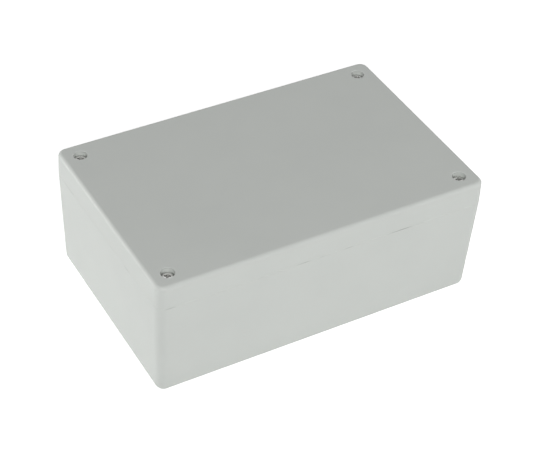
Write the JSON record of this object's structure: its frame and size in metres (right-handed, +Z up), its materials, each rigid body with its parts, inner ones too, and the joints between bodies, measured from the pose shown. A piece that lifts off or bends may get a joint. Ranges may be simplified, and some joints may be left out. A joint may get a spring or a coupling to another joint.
{
  "type": "abs enclosure",
  "caption": "Moulded light-grey ABS box with a deep drafted base and a shallow lift-off lid held by cross-recess screws sunk in its corners, for housing electronics.",
  "frame": {"origin": "centre of the flat underside of the base, on the surface that the box stands on", "axes": "+X along the length, +Y across the width towards the back, +Z up through the lid"},
  "size_m": [0.156, 0.1, 0.06],
  "materials": {
    "abs_base": "light grey moulded ABS, fine matt texture",
    "abs_lid": "light grey moulded ABS, fine matt texture",
    "gasket_rubber": "dull black sealing cord",
    "screw_steel": "plain bright steel",
    "insert_brass": "turned brass"
  },
  "bodies": {
    "base": {"base_shell": "abs_base", "thread_insert_front_left": "insert_brass", "thread_insert_front_right": "insert_brass", "thread_insert_back_left": "insert_brass", "thread_insert_back_right": "insert_brass"},
    "lid": {"lid_shell": "abs_lid", "lid_gasket": "gasket_rubber", "lid_screw_front_left": "screw_steel", "lid_screw_front_right": "screw_steel", "lid_screw_back_left": "screw_steel", "lid_screw_back_right": "screw_steel"}
  },
  "joints": [
    {"name": "lid_lift", "type": "slide", "parent": "base", "child": "lid", "axis": [0, 0, 1], "range_m": [0, 0.08]}
  ]
}
